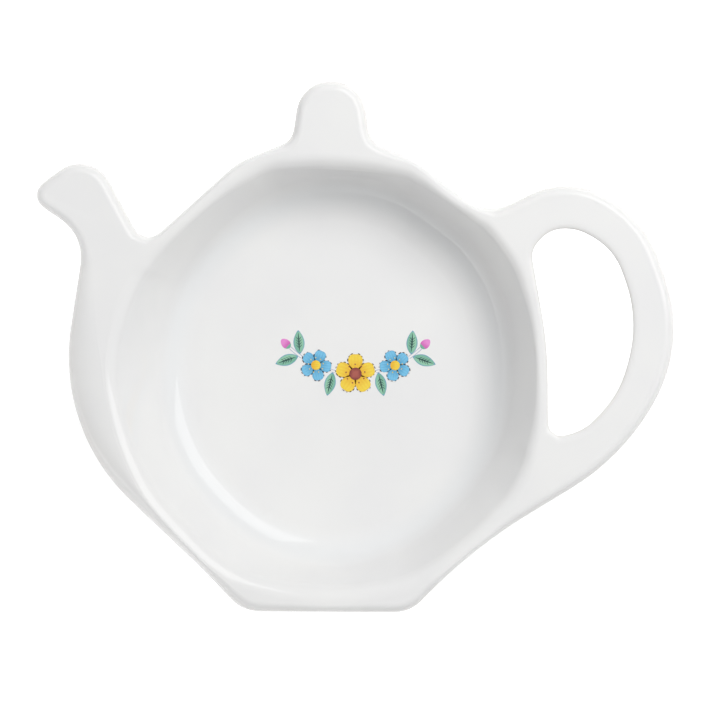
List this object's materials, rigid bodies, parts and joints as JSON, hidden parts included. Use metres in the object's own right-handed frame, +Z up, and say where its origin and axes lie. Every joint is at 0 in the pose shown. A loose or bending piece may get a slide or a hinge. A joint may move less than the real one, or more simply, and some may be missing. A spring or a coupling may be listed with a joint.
{
  "type": "tea bag rest",
  "caption": "Teapot-shaped white porcelain tea bag rest: a shallow round well on a foot ring, with flat spout, lid knob and loop handle tabs and a small floral print on its floor.",
  "frame": {"origin": "on the plane that the foot stands on, under the middle of the whole outline's bounding box", "axes": "+X from the spout to the handle, +Y from the teapot's base to its lid knob, +Z up out of the well"},
  "size_m": [0.1256, 0.1042, 0.0182],
  "materials": {
    "glazed_porcelain": "clear gloss glaze over white porcelain",
    "bare_biscuit": "unglazed, ground smooth",
    "print_stems": "fired transfer print",
    "print_leaves": "fired transfer print",
    "print_leaf_veins": "fired transfer print",
    "print_blue_petals": "fired transfer print",
    "print_blue_hearts": "fired transfer print",
    "print_yellow_petals": "fired transfer print",
    "print_yellow_heart": "fired transfer print",
    "print_buds": "fired transfer print"
  },
  "bodies": {
    "root": {"bowl": "glazed_porcelain", "foot_ring": "bare_biscuit", "spout": "glazed_porcelain", "lid_knob": "glazed_porcelain", "handle": "glazed_porcelain", "print_stems": "print_stems", "print_leaves": "print_leaves", "print_leaf_veins": "print_leaf_veins", "print_blue_petals": "print_blue_petals", "print_blue_hearts": "print_blue_hearts", "print_yellow_petals": "print_yellow_petals", "print_yellow_heart": "print_yellow_heart", "print_buds": "print_buds"}
  },
  "joints": []
}
